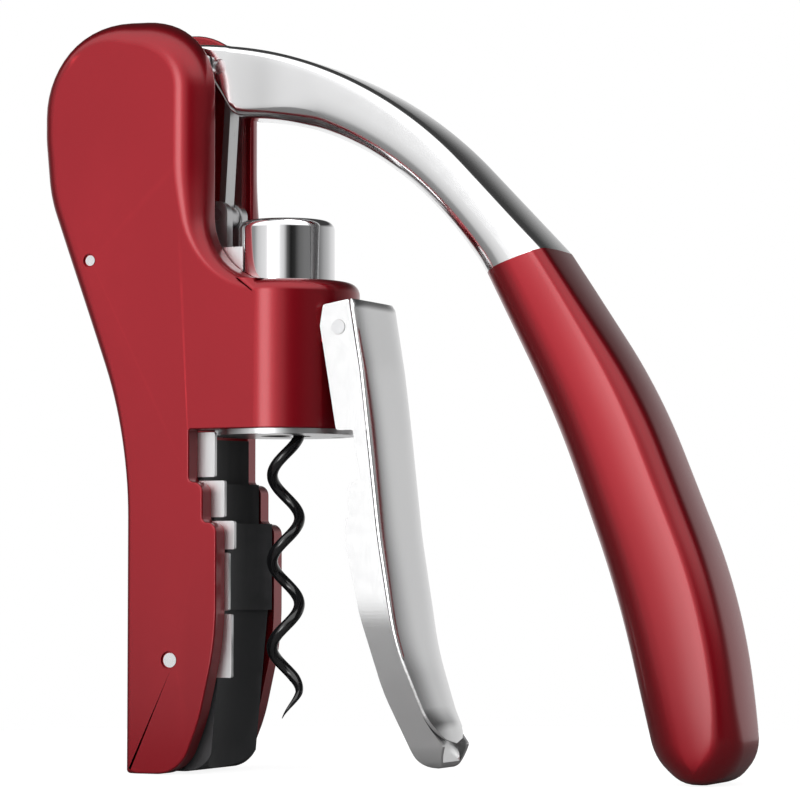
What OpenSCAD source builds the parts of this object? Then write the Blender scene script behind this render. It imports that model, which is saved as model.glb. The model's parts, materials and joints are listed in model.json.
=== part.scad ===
// Compact lever corkscrew: upright twin-cheek body, arched lever with a moulded grip,
// a worm that rides on a lifting carriage, and a hinged clamp that closes on the bottle neck.
// The worm axis is the Z axis, the foot stands on Z = 0, and the lever points along +X.

/* [Body] */
// Outside width over the two cheeks
body_w = 31; // [31:0.5:32]
// Thickness of a cheek in the foot
cheek_t = 4; // [3.5:0.1:4.2]
// Clear gap between the cheeks in the head
head_gap = 16.9; // [16.9:0.1:17.2]
// Height of the rounded head
head_top = 158.4; // [158:0.1:159]
// Height of the collar's upper face
collar_top = 102.6; // [102.4:0.1:103]
// Height of the collar's lower face
collar_bottom = 71.5; // [71.3:0.1:71.7]

/* [Worm] */
// Distance from the worm axis to the middle of the wire
worm_r = 2.85; // [2.6:0.05:2.9]
// Radius of the worm's wire
wire_r = 1.17; // [1:0.01:1.2]
// Rise of the worm in one turn
worm_pitch = 18; // [16:0.5:20]
// Height of the worm's point
worm_tip = 11.4; // [10:0.2:14]

/* [Carriage] */
// Radius of the bright barrel
barrel_r = 10.2; // [10.1:0.05:10.2]
// Height of the barrel's top
barrel_top = 115.7; // [115:0.1:117]

/* [Lever] */
// Width of the grip
grip_w = 20.4; // [19:0.2:21]
// Width of the forked root
fork_w = 13.8; // [13:0.2:13.8]
// Gap between the fork's arms
fork_gap = 5.2; // [5:0.1:5.4]

/* [Clamp] */
// Width over the clamp's side flanges
clamp_w = 21; // [20.6:0.1:21]
// Thickness of a flange
flange_t = 1.1; // [0.9:0.05:1.1]

/* [Hidden] */

$fn = 64;
play = 0.05;                            // running clearance on a radius
slack = 0.3;                            // gap beside a part that slides or swings
eps = 0.01;

// body
half_w = body_w / 2;
half_gap = head_gap / 2;
foot_gap = half_w - cheek_t;            // half of the gap in the foot
foot_rear = -29.6;
head_rear = -50.5;
head_front = -12.4;
lip_x = -14.9;                          // cut edge beside the bottle's mouth
neck_x = -11.7;                         // cut edge beside the lip ring
grip_edge_x = -8.5;                     // cut edge beside the neck
lip_z = 60.6;
neck_z = 52.2;
collar_lip = 4.6;                       // thickness of the collar's upper lip
bush_r = 11.6;
nut_top = 75.8;
plate_t = 1.1;
plate_r = 15;
worm_hole_r = 5.3;
lug_r = 2.9;
lug_y = 5.2;
clamp_pin = [17.1, 92.2];
clamp_pin_r = 1.5;
spring_pocket_r = 2.7;                  // hollow in the collar behind the spring
spring_leg = 5;
upper_pin = [-38.8, 107.7];
upper_pin_r = 1.1;
lower_pin = [-19.4, 23.6];
lower_pin_r = 1.5;
pin_recess = 0.35;                      // depth of a cross pin's end below the cheek

// linkage
pivot = [-38.5, 148];
pivot_r = 2;
crank = [-12.5, 148.5];
crank_r = 1.6;
slide_pin = [-14.4, 117.5];
slide_pin_r = 1.3;
link_w = 4;
link_t = 1.5;
link_eye_r = 2.3;
link_len = norm(crank - slide_pin);
link_lean = atan2(crank.x - slide_pin.x, crank.y - slide_pin.y);

// carriage
block_bottom = 104;
block_top = 110;
block_rear = -19.5;
ear_r = 2.8;
ear_gap = 4.5;
ear_w = 9.4;
rail_x = -15.4;
rail_w = 2;
rail_t = 1;
barrel_bottom = 76.6;
barrel_wall = 1.8;
chuck_bottom = 82;
chuck_r = 5;
flange_z = 92;
spindle_r = 4;
spindle_top = 108;
bearing_z = 96.6;
bearing_h = 8.6;

// lever
arch_outer = [-22.6, 61];
arch_outer_r = 92.8;
arch_inner = [-14.5, 66];
arch_inner_r = 72.1;
arch_start = 86;                        // angle on the inner circle where the fork's underside begins
arch_end = 44;                          // angle where the outer circle runs out straight
seam_run = 25.6;                        // from there to the grip
seam_angle_in = 30.3;
tang_w = 11;
tang_pin = [78.6, 68];
tang_pin_r = 1.4;

// a point on a circle, and an arc of them in the side view
function on_circle(c, r, a) = c + r * [cos(a), sin(a)];
function arc(c, r, from, to, n = 24) = [for (i = [0:n]) on_circle(c, r, from + (to - from) * i / n)];

// the points of corner b rounded to radius r, between its neighbours a and c
function round_corner(a, b, c, r, n = 10) =
    r <= 0 ? [b] :
    let (u = (a - b) / norm(a - b), v = (c - b) / norm(c - b))
    let (half = acos(u * v) / 2, mid = b + (u + v) / norm(u + v) * r / sin(half))
    let (start = b + u * r / tan(half) - mid, end = b + v * r / tan(half) - mid)
    let (from = atan2(start.y, start.x), turn = (atan2(end.y, end.x) - from + 540) % 360 - 180)
    [for (i = [0:n]) on_circle(mid, r, from + turn * i / n)];

// an outline from corners [x, z, corner radius]
function rounded(p) = let (k = len(p)) [for (i = [0:k - 1])
    each round_corner([p[(i + k - 1) % k].x, p[(i + k - 1) % k].y], [p[i].x, p[i].y],
        [p[(i + 1) % k].x, p[(i + 1) % k].y], p[i].z)];

// extrudes a side-view outline across the width, from y = low to y = high
module side(low, high) {
    translate([0, high, 0]) rotate([90, 0, 0]) linear_extrude(high - low) children();
}

// the same on both sides of the object's middle plane
module both_sides(low, high) {
    side(low, high) children();
    side(-high, -low) children();
}

// a cylinder along Y, centred on the middle plane, at a side-view point
module cross_rod(p, r, w) {
    translate([p.x, 0, p.y]) rotate([90, 0, 0]) cylinder(r = r, h = w, center = true);
}

// the cheek: foot, waist and rounded head, with the stepped cut-out for the bottle's neck
cheek_outline = rounded([
    [foot_rear, 0, 0.8], [foot_rear, 69.8, 90], [-49.3, 121.5, 30], [head_rear, 134, 30],
    [head_rear, head_top, 19.5], [head_front, head_top, 15], [head_front, collar_top, 14],
    [0, collar_top, 0], [0, collar_bottom, 0], [lip_x, collar_bottom, 0.4],
    [lip_x, lip_z, 1], [neck_x, lip_z, 2.2], [neck_x, neck_z, 1], [grip_edge_x, neck_z, 2.2],
    [grip_edge_x, 28, 60], [-12.4, 11, 40], [-17, 0, 8]]);

module head_zone(lowest) {
    polygon([[-60, lowest], [10, lowest], [10, 170], [-60, 170]]);
}

module body_casting() {
    color("firebrick") difference() {
        union() {
            both_sides(foot_gap, half_w) polygon(cheek_outline);
            both_sides(half_gap, foot_gap + eps) intersection() {
                polygon(cheek_outline);
                head_zone(collar_bottom);
            }
            translate([0, 0, collar_bottom]) cylinder(r = half_w, h = collar_top - collar_bottom);
            intersection() {
                translate([lip_x, -half_w, collar_bottom])
                    cube([-lip_x, body_w, collar_top - collar_bottom]);
                side(-half_w, half_w) polygon(cheek_outline);
            }
            for (s = [-1, 1]) clamp_lug(s);
        }
        translate([0, 0, collar_bottom - 1])
            cylinder(r = bush_r, h = collar_top - collar_lip - collar_bottom + 1);
        translate([0, 0, collar_bottom]) cylinder(r = barrel_r + slack, h = 40);
        cross_rod(clamp_pin, clamp_pin_r, body_w);
        cross_rod(upper_pin, upper_pin_r, body_w + 1);
        cross_rod(lower_pin, lower_pin_r, body_w + 1);
        cross_rod(pivot, pivot_r, 2 * half_gap + 8);
        plate_screw_places() cylinder(r = 0.9, h = 5);
        cross_rod(clamp_pin, spring_pocket_r, 2 * lug_y);
        translate([clamp_pin.x - spring_pocket_r, 2.8, clamp_pin.y - spring_leg - 0.2])
            cube([2, 1.3, spring_leg]);
    }
}

// one of the two lugs on the collar that carry the clamp's hinge pin
module clamp_lug(side_sign) {
    y = side_sign * (lug_y + (clamp_w / 2 - flange_t - slack)) / 2;
    w = clamp_w / 2 - flange_t - slack - lug_y;
    translate([0, y, 0]) {
        cross_rod(clamp_pin, lug_r, w);
        translate([11.8, -w / 2, clamp_pin.y - lug_r]) cube([clamp_pin.x - 11.8, w, 2 * lug_r]);
    }
}

// the moulded trough that lines up the bottle's neck behind the worm
module bottle_guide() {
    guide_w = 2 * foot_gap - 2.4;
    color("#26282a") difference() {
        side(-guide_w / 2, guide_w / 2) polygon(rounded([
            [foot_rear + 1.2, 0.4, 1], [foot_rear + 1.2, 70, 1], [-9.4, 70, 0], [-9.4, lip_z, 0],
            [-6, lip_z, 0], [-6, 28, 40], [-9, 9, 20], [-14.5, 0.4, 7]]));
        translate([0, 0, lip_z]) cylinder(r = 17.4, h = 20);
        translate([0, 0, neck_z]) cylinder(r = 15.5, h = 20);
        translate([0, 0, 46]) cylinder(r = 13.1, h = 20);
        translate([0, 0, 33.8]) cylinder(r = 13.3, h = 20);
        translate([0, 0, -0.1]) cylinder(r1 = 16.2, r2 = 13.9, h = 34);
        cross_rod(lower_pin, lower_pin_r, body_w);
        translate([-18, -6.2, 38]) cube([20, 5, 2.4]);
        translate([-25, -guide_w / 2 - 1, 34]) cube([7, guide_w + 2, 28]);
    }
}

// the stepped steel plate that takes the wear of the lip ring, inside the near cheek
module side_wear_plate() {
    color("silver") difference() {
        side(-foot_gap + 0.05, -foot_gap + 1.15) polygon(rounded([
            [-22, 20, 0.5], [-22, 71, 0.5], [-10.9, 71, 0.4], [-10.9, 61.4, 0.4], [-8.6, 60.2, 0.4],
            [-8.6, 52.6, 0.4], [-6.3, 51.8, 0.4], [-6.3, 46.2, 0.4], [-7.3, 45.6, 0.4],
            [-7.3, 34.2, 0.4], [-6.9, 33.4, 0.4], [-7.9, 20, 0.4]]));
        cross_rod(lower_pin, lower_pin_r, body_w);
    }
}

// a domed cross pin held in both cheeks
module cross_pin(p, r) {
    color("gainsboro") cross_rod(p, r, body_w - 2 * pin_recess);
}

module upper_cross_pin() {
    cross_pin(upper_pin, upper_pin_r);
}

module lower_cross_pin() {
    cross_pin(lower_pin, lower_pin_r);
}

module pin_spacer() {
    color("silver") difference() {
        cross_rod(upper_pin, 2.6, head_gap);
        cross_rod(upper_pin, upper_pin_r, head_gap + 1);
    }
}

module plate_screw_places() {
    for (a = [60, 180, 300])
        translate([13.3 * cos(a), 13.3 * sin(a), collar_bottom - plate_t]) children();
}

module collar_plate() {
    color("silver") difference() {
        translate([0, 0, collar_bottom - plate_t]) cylinder(r = plate_r, h = plate_t);
        translate([0, 0, collar_bottom - plate_t - 1]) cylinder(r = worm_hole_r, h = plate_t + 2);
        plate_screw_places() translate([0, 0, -1]) cylinder(r = 0.9, h = plate_t + 2);
        plate_screw_places() translate([0, 0, -eps]) cylinder(r1 = 1.5, r2 = 0.9, h = 0.7);
    }
}

module collar_plate_screws() {
    color("dimgray") plate_screw_places() difference() {
        union() {
            cylinder(r = 0.9, h = 5);
            cylinder(r1 = 1.48, r2 = 0.9, h = 0.68);
        }
        for (a = [0, 90]) rotate([0, 0, a]) translate([-0.9, -0.15, -0.1]) cube([1.8, 0.3, 0.4]);
    }
}

module collar_bush() {
    color("#303234") difference() {
        translate([0, 0, nut_top + 0.2])
            cylinder(r = bush_r, h = collar_top - collar_lip - nut_top - 0.2);
        cylinder(r = barrel_r + play, h = collar_top);
    }
}

// the guide nut that the worm passes through
module worm_nut() {
    color("darkkhaki") difference() {
        translate([0, 0, collar_bottom]) cylinder(r = bush_r, h = nut_top - collar_bottom);
        cylinder(r = worm_r + wire_r + slack, h = collar_top);
        plate_screw_places() cylinder(r = 1.1, h = 6);
    }
}

module carriage_rails() {
    color("silver") both_sides(half_gap - rail_t, half_gap)
        polygon(rounded([[rail_x - rail_w / 2, 103.2, 0], [rail_x - rail_w / 2, 151, 0.8],
            [rail_x + rail_w / 2, 151, 0.8], [rail_x + rail_w / 2, 103.2, 0]]));
}

module lever_pivot_pin() {
    color("gainsboro") cross_rod(pivot, pivot_r, 2 * half_gap + 7.6);
}

module clamp_hinge_pin() {
    color("gainsboro") cross_rod(clamp_pin, clamp_pin_r, clamp_w + 0.4);
}

// torsion spring: a row of coils round the hinge pin, and a leg on the collar
module clamp_spring() {
    color("dimgray") {
        for (i = [-4:4]) translate([clamp_pin.x, i * 0.86, clamp_pin.y]) rotate([90, 0, 0])
            rotate_extrude() translate([2.05, 0]) circle(r = 0.44, $fn = 16);
        translate([clamp_pin.x - 2.05, 3.44, clamp_pin.y]) rotate([180, 0, 0])
            cylinder(r = 0.4, h = spring_leg, $fn = 16);
    }
}

// the carriage: saddle behind the barrel, shoes on the rails, and two ears for the link
module carriage_block() {
    color("silver") difference() {
        union() {
            translate([block_rear, -(half_gap - slack), block_bottom])
                cube([-6.2 - block_rear, 2 * (half_gap - slack), block_top - block_bottom]);
            both_sides(ear_gap / 2, ear_w / 2) polygon(rounded([
                [slide_pin.x - ear_r, block_bottom, 0], [slide_pin.x - ear_r, slide_pin.y + ear_r, 2.6],
                [slide_pin.x + ear_r, slide_pin.y + ear_r, 2.6], [slide_pin.x + ear_r, block_bottom, 0]]));
        }
        cylinder(r = barrel_r, h = 130);
        for (s = [-1, 1])
            translate([rail_x - rail_w / 2 - play, s * half_gap - (s > 0 ? rail_t + play : 0) - play,
                block_bottom - 1]) cube([rail_w + 2 * play, rail_t + 2 * play + 1, 9]);
        cross_rod(slide_pin, slide_pin_r, 2 * half_gap);
        barrel_screw_places() cylinder(r = 0.8, h = 12);
    }
}

module barrel() {
    color("gainsboro") difference() {
        union() {
            translate([0, 0, barrel_bottom]) cylinder(r = barrel_r, h = barrel_top - 2 - barrel_bottom);
            translate([0, 0, barrel_top - 2]) cylinder(r = barrel_r - 2, h = 2);
            translate([0, 0, barrel_top - 2]) rotate_extrude() translate([barrel_r - 2, 0])
                intersection() {
                    circle(r = 2);
                    square(2);
                }
        }
        translate([0, 0, barrel_bottom - 1])
            cylinder(r = barrel_r - barrel_wall, h = barrel_top - barrel_bottom - 1.2);
        barrel_screw_places() translate([0, 0, 5]) cylinder(r = 0.8, h = 8);
    }
}

// places of the two screws that hold the barrel to its saddle, pointing forward
module barrel_screw_places() {
    for (y = [-3.4, 3.4]) translate([block_rear, y, 107]) rotate([0, 90, 0]) children();
}

module barrel_screws() {
    color("dimgray") barrel_screw_places() {
        cylinder(r = 0.8, h = 11.6);
        translate([0, 0, -0.8]) cylinder(r = 1.5, h = 0.8);
    }
}

module barrel_base_ring() {
    color("dimgray") difference() {
        translate([0, 0, barrel_bottom]) cylinder(r = barrel_r - barrel_wall, h = 3);
        cylinder(r = chuck_r + 0.5, h = barrel_top);
    }
}

module worm_bearing() {
    color("darkkhaki") difference() {
        translate([0, 0, bearing_z]) cylinder(r = barrel_r - barrel_wall, h = bearing_h);
        cylinder(r = spindle_r + play, h = barrel_top);
    }
}

module thrust_washer() {
    color("silver") difference() {
        translate([0, 0, flange_z + 3.1]) cylinder(r = barrel_r - barrel_wall, h = 1.5);
        cylinder(r = spindle_r + play, h = barrel_top);
    }
}

module link_pin() {
    color("gainsboro") cross_rod(slide_pin, slide_pin_r, ear_w);
}

// the worm's centre line: a helix that tapers to its point and runs into a straight shank
worm_top = 91;
helix_end = 79;
shank_start = 84;
shank_r = 2;
function worm_grow(z) = z < helix_end ? 1 : max(0, (shank_start - z) / (shank_start - helix_end));
function worm_radius(z) = worm_r * worm_grow(z) * min(1, 0.55 + (z - worm_tip) / 12);
function worm_angle(z) = 204.3 + 360 * (z - 62.1) / worm_pitch;
function worm_point(z) = [worm_radius(z) * cos(worm_angle(z)), worm_radius(z) * sin(worm_angle(z)), z];
function worm_wire(z) = z > shank_start ? shank_r :
    z > helix_end ? wire_r + (shank_r - wire_r) * (z - helix_end) / (shank_start - helix_end) :
    wire_r * min(1, 0.08 + (z - worm_tip) / 9);

// rings of points round the centre line, joined into one closed skin
module worm() {
    sides = 10;
    step = 0.75;
    rings = floor((worm_top - worm_tip) / step);
    ring_points = [for (i = [0:rings])
        let (z = worm_tip + i * step, c = worm_point(z))
        let (t = (worm_point(z + 0.1) - worm_point(z - 0.1)) / norm(worm_point(z + 0.1) - worm_point(z - 0.1)))
        let (u = cross(t, [0, 1, 0]) / norm(cross(t, [0, 1, 0])), v = cross(t, u))
        for (k = [0:sides - 1]) c + worm_wire(z) * (cos(360 * k / sides) * u + sin(360 * k / sides) * v)];
    skin = [for (i = [0:rings - 1]) for (k = [0:sides - 1])
        let (a = i * sides + k, b = i * sides + (k + 1) % sides)
        [a, b, b + sides, a + sides]];
    ends = [[for (k = [sides - 1:-1:0]) k], [for (k = [0:sides - 1]) rings * sides + k]];
    color("#18181a") polyhedron(ring_points, concat(skin, ends), convexity = 8);
}

module worm_chuck() {
    color("darkgray") difference() {
        union() {
            translate([0, 0, chuck_bottom]) cylinder(r = chuck_r, h = flange_z - chuck_bottom + 0.5);
            translate([0, 0, flange_z]) cylinder(r = 7.6, h = 3);
            translate([0, 0, flange_z]) cylinder(r = spindle_r, h = spindle_top - flange_z);
        }
        translate([0, 0, chuck_bottom - 1]) cylinder(r = shank_r + 0.1, h = worm_top - chuck_bottom + 1.2);
        translate([0, 0, chuck_bottom - 1]) cylinder(r = 3.6, h = 3.2);
    }
}

module chuck_clip() {
    color("dimgray") difference() {
        translate([0, 0, bearing_z + bearing_h + 0.2]) cylinder(r = 6, h = 1.2);
        cylinder(r = spindle_r, h = barrel_top);
    }
}

// the flat link from the carriage up into the lever's fork
module link_bar() {
    color("silver") difference() {
        translate([slide_pin.x, 0, slide_pin.y]) rotate([0, link_lean, 0]) {
            cross_rod([0, 0], link_eye_r, link_w);
            cross_rod([0, link_len], link_eye_r, link_w);
            side(-link_w / 2, link_w / 2) polygon([[-link_t / 2, 0], [link_t / 2, 0],
                [link_t / 2, link_len - 7], [link_eye_r, link_len], [-link_eye_r, link_len],
                [-link_t / 2, link_len - 7]]);
        }
        cross_rod(slide_pin, slide_pin_r + play, 2 * link_w);
        cross_rod(crank, crank_r + slack, 2 * link_w);
    }
}

seam_out = on_circle(arch_outer, arch_outer_r, arch_end)
    + seam_run * [sin(arch_end), -cos(arch_end)];
seam_in = on_circle(arch_inner, arch_inner_r, seam_angle_in);

// side view of the lever's bright part: hub, fork arms and arch
arch_outline = concat(
    rounded([[pivot.x, pivot.y - 5.5, 0], [pivot.x - 5.5, pivot.y - 5.5, 5.4],
        [pivot.x - 5.5, pivot.y + 5.5, 5.4], [pivot.x, pivot.y + 5.5, 0]]),
    arc(arch_outer, arch_outer_r, 92, arch_end, 40), [seam_out],
    arc(arch_inner, arch_inner_r, seam_angle_in, arch_start, 30),
    [[-15.2, 146.6], [-20, 146.2], [-30, 142.8]]);

// side view of the tang inside the grip
tang_outline = rounded([[seam_in.x + 2.2, seam_in.y + 3, 0], [seam_out.x - 3.4, seam_out.y + 1, 0],
    [75.5, 80, 80], [87.5, 50, 1.5], [82.5, 48.5, 1.5], [66.5, 78, 80]]);

// plan of the lever's width: narrow at the fork, full at the grip
module width_zone() {
    linear_extrude(200) polygon([[-50, -fork_w / 2], [-11, -fork_w / 2], [2, -8.1],
        [56, -grip_w / 2 + 0.4], [90, -grip_w / 2 + 0.4], [90, grip_w / 2 - 0.4],
        [56, grip_w / 2 - 0.4], [2, 8.1], [-11, fork_w / 2], [-50, fork_w / 2]]);
}

module lever_arm() {
    color("gainsboro") difference() {
        union() {
            intersection() {
                side(-grip_w / 2, grip_w / 2) polygon(arch_outline);
                width_zone();
            }
            side(-tang_w / 2, tang_w / 2) polygon(tang_outline);
        }
        translate([-50, -fork_gap / 2, 130]) cube([40.6, fork_gap, 40]);
        cross_rod(pivot, 3, 40);
        cross_rod(crank, crank_r, 40 - eps);
        cross_rod(tang_pin, tang_pin_r, 40);
    }
}

// side view of the grip
grip_outline = rounded([[seam_in.x, seam_in.y, 0.2], [seam_out.x, seam_out.y, 0.2],
    [81.6, 78, 120], [98.6, 36, 120], [103.2, 0, 8.5], [84.6, 0, 11], [75.8, 37, 220],
    [62.8, 73, 220]]);

module lever_grip() {
    color("firebrick") difference() {
        side(-grip_w / 2, grip_w / 2) polygon(grip_outline);
        side(-tang_w / 2, tang_w / 2) polygon(tang_outline);
        cross_rod(tang_pin, tang_pin_r, tang_w + 4);
    }
}

// two studs in the fork's arms, either side of the link's upper eye
module crank_studs() {
    color("gainsboro") for (s = [-1, 1])
        translate([0, s * (fork_gap / 2 + fork_w / 2 - 0.6) / 2, 0])
            cross_rod(crank, crank_r, (fork_w - fork_gap) / 2 - 0.6);
}

module pivot_bushes() {
    color("darkkhaki") for (s = [-1, 1]) difference() {
        translate([0, s * (fork_gap + fork_w) / 4, 0]) cross_rod(pivot, 3, (fork_w - fork_gap) / 2);
        cross_rod(pivot, pivot_r + play, 40);
    }
}

// the hidden pin that locks the grip on the tang
module tang_pins() {
    color("dimgray") cross_rod(tang_pin, tang_pin_r, tang_w + 4);
}

// side view of the clamp's flange, with the steps that clear the lip ring
flange_outline = rounded([
    [19.4, 97.9, 0.4], [13.6, 96.9, 0.6], [12.9, 92.6, 2], [16.6, 71, 0.6], [20.4, 71, 0.5],
    [21.9, 61, 0.8], [19.2, 59.6, 1], [19.5, 53.2, 0.5], [18.8, 52.8, 0.5], [18.6, 48, 12],
    [21.9, 33, 30], [26.2, 17.5, 40], [33.2, 2.2, 4], [37.4, 1.8, 1.3], [38.9, 6.6, 0.4],
    [35.2, 11.4, 20], [29.6, 26.2, 60], [25.8, 49, 120], [21.9, 83.3, 60]]);

// side view of the cover, from the seam to its crown
cover_outline = rounded([
    [19.5, 97.9, 0], [21.9, 83.3, 60], [25.8, 49, 120], [29.6, 26.2, 60], [35.2, 11.4, 20],
    [38.9, 6.6, 0], [40.2, 8, 1], [37.9, 12.6, 20], [32.3, 27, 60], [28.4, 49.5, 120],
    [24.2, 84, 60], [22.3, 97.5, 1]]);

// front view of the clamp: parallel sides that draw in to a rounded tongue
module tongue(w) {
    rotate([90, 0, 90]) linear_extrude(60) polygon(rounded([
        [-w / 2, 98.6, 1.5], [w / 2, 98.6, 1.5], [w / 2, 34, 60], [w / 2 - 4.4, 1.4, 5.5],
        [-w / 2 + 4.4, 1.4, 5.5], [-w / 2, 34, 60]]));
}

module clamp_frame() {
    inner = clamp_w - 2 * flange_t;
    color("silver") difference() {
        intersection() {
            side(-clamp_w / 2, clamp_w / 2) polygon(flange_outline);
            tongue(clamp_w);
        }
        intersection() {
            side(-inner / 2, inner / 2) difference() {
                polygon(flange_outline);
                polygon(rounded([[23.2, 80, 0], [26, 80, 0], [26, 49, 120], [29.8, 26.2, 60],
                    [35, 10.8, 10], [39, 0, 0], [33, 0, 0], [33.8, 10.8, 20], [28.5, 26, 60],
                    [24.7, 49, 120], [21.9, 77, 60]]));
            }
            tongue(inner);
        }
        cross_rod(clamp_pin, clamp_pin_r + play, 40);
        pad_rivet_places() cylinder(r = 0.9, h = 12, center = true);
    }
}

module clamp_cover() {
    color("gainsboro") intersection() {
        side(-clamp_w / 2, clamp_w / 2) polygon(cover_outline);
        tongue(clamp_w);
    }
}

module clamp_pad() {
    color("#26282a") difference() {
        side(-7.6, 7.6) polygon([[20.2, 56], [23.9, 56], [25.4, 40], [21.8, 40]]);
        translate([8.6, 0, 30]) cylinder(r = 13.6, h = 40);
        pad_rivet_places() cylinder(r = 0.9, h = 12, center = true);
    }
}

module pad_rivet_places() {
    for (z = [44, 52]) translate([23.6, 0, z]) rotate([0, 96, 0]) children();
}

module clamp_pad_rivets() {
    color("gainsboro") pad_rivet_places() translate([0, 0, -0.6]) cylinder(r = 0.9, h = 1.6);
}

body_casting();
bottle_guide();
side_wear_plate();
upper_cross_pin();
lower_cross_pin();
pin_spacer();
collar_plate();
collar_plate_screws();
collar_bush();
worm_nut();
carriage_rails();
lever_pivot_pin();
clamp_hinge_pin();
clamp_spring();
carriage_block();
barrel();
barrel_screws();
barrel_base_ring();
worm_bearing();
thrust_washer();
link_pin();
worm();
worm_chuck();
chuck_clip();
link_bar();
lever_arm();
lever_grip();
crank_studs();
pivot_bushes();
tang_pins();
clamp_frame();
clamp_cover();
clamp_pad();
clamp_pad_rivets();
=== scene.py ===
"""Looks of the lever corkscrew, built round its fixed CAD frame.

Lengths in the tables below are millimetres in the frame's own axes: the worm axis is Z, the foot stands
on Z = 0 and the lever points along +X. Meshes are written in metres.
"""
import json
import math

import bmesh
import bpy
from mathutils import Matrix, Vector


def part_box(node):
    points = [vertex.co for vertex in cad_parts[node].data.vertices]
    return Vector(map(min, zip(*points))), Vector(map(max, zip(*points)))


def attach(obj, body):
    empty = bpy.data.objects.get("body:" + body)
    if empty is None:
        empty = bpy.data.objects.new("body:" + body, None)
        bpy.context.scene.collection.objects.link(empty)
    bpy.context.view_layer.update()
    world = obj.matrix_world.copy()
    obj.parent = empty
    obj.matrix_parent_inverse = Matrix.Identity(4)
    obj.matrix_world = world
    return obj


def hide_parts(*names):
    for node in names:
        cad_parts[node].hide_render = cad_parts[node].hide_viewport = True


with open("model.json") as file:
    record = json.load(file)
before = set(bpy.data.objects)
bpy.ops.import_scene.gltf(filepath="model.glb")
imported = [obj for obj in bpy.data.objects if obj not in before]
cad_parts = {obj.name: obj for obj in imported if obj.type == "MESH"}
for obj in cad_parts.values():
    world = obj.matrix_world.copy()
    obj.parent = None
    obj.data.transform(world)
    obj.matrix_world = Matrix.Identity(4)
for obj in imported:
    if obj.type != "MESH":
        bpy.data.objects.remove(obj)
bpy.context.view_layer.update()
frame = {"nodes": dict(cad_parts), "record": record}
nodes = frame["nodes"]
MM = 0.001


def span(node, axis):
    """Lowest and highest coordinate of a CAD node along an axis, in millimetres."""
    low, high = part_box(node)
    return low[axis] / MM, high[axis] / MM


X, Y, Z = 0, 1, 2

# ---------------------------------------------------------------- driving sizes, the first ones read from the frame, the rest given
HALF_W = span("body_casting", Y)[1]
HEAD_TOP = span("body_casting", Z)[1]
HEAD_REAR = span("body_casting", X)[0]
COLLAR_BOTTOM = span("collar_plate", Z)[1]
BARREL_R = span("barrel", Y)[1]
BARREL_BOTTOM, BARREL_TOP = span("barrel", Z)
HEAD_GAP = span("pin_spacer", Y)[1]
GRIP_HALF_W = span("lever_grip", Y)[1]
FORK_HALF_W = span("pivot_bushes", Y)[1]
CLAMP_HALF_W = span("clamp_frame", Y)[1]
FOOT_REAR = -29.6
FOOT_GAP = HALF_W - 4
COLLAR_TOP = 102.6
HEAD_FRONT = -12.4
LIP_X, NECK_X, GRIP_EDGE_X = -14.9, -11.7, -8.5
LIP_Z, NECK_Z = 60.6, 52.2
PIVOT = (-38.5, 148)
CRANK = (-12.5, 148.5)
CLAMP_PIN = (17.1, 92.2)
UPPER_PIN = (-38.8, 107.7)
LOWER_PIN = (-19.4, 23.6)


# ---------------------------------------------------------------- plane geometry
def on_circle(centre, radius, degrees):
    """The point of a circle at an angle from +X."""
    a = math.radians(degrees)
    return (centre[0] + radius * math.cos(a), centre[1] + radius * math.sin(a))


def arc(centre, radius, start, end, steps):
    """Points along a circle between two angles."""
    return [on_circle(centre, radius, start + (end - start) * i / steps) for i in range(steps + 1)]


def round_corner(a, b, c, radius, steps):
    """The points of corner b rounded to a radius, between its neighbours a and c."""
    if radius <= 0:
        return [tuple(b)]
    a, b, c = Vector(a), Vector(b), Vector(c)
    u = (a - b).normalized()
    v = (c - b).normalized()
    half = u.angle(v) / 2
    middle = b + (u + v).normalized() * radius / math.sin(half)
    start = b + u * radius / math.tan(half) - middle
    end = b + v * radius / math.tan(half) - middle
    first = math.degrees(math.atan2(start.y, start.x))
    last = math.degrees(math.atan2(end.y, end.x))
    turn = (last - first + 540) % 360 - 180
    return arc(middle, radius, first, first + turn, steps)


def rounded(corners, steps=14, closed=True):
    """An outline from corners (x, z, corner radius); the ends of an open one stay sharp."""
    points = []
    count = len(corners)
    for i, (x, z, radius) in enumerate(corners):
        if not closed and i in (0, count - 1):
            points.append((x, z))
            continue
        before = corners[i - 1][:2]
        after = corners[(i + 1) % count][:2]
        points += round_corner(before, (x, z), after, radius, steps)
    return points


def refine(points, longest, closed=True):
    """The same outline with no stretch longer than a length."""
    result = []
    count = len(points)
    for i in range(count if closed else count - 1):
        a = Vector(points[i])
        b = Vector(points[(i + 1) % count])
        pieces = max(1, math.ceil((b - a).length / longest))
        result += [tuple(a.lerp(b, k / pieces)) for k in range(pieces)]
    if not closed:
        result.append(tuple(points[-1]))
    return result


def resample(points, count):
    """A number of points spaced evenly along an open line."""
    lengths = [0.0]
    for a, b in zip(points, points[1:]):
        lengths.append(lengths[-1] + (Vector(b) - Vector(a)).length)
    result = []
    k = 0
    for i in range(count):
        goal = lengths[-1] * i / (count - 1)
        while k < len(points) - 2 and lengths[k + 1] < goal:
            k += 1
        share = (goal - lengths[k]) / max(lengths[k + 1] - lengths[k], 1e-9)
        result.append(tuple(Vector(points[k]).lerp(Vector(points[k + 1]), min(max(share, 0), 1))))
    return result


def smooth_step(low, high, value):
    """0 below low, 1 above high, and a smooth rise between."""
    t = min(max((value - low) / (high - low), 0.0), 1.0)
    return t * t * (3 - 2 * t)


def mix(a, b, t):
    """The value a share t of the way from a to b."""
    return a + (b - a) * t


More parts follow.
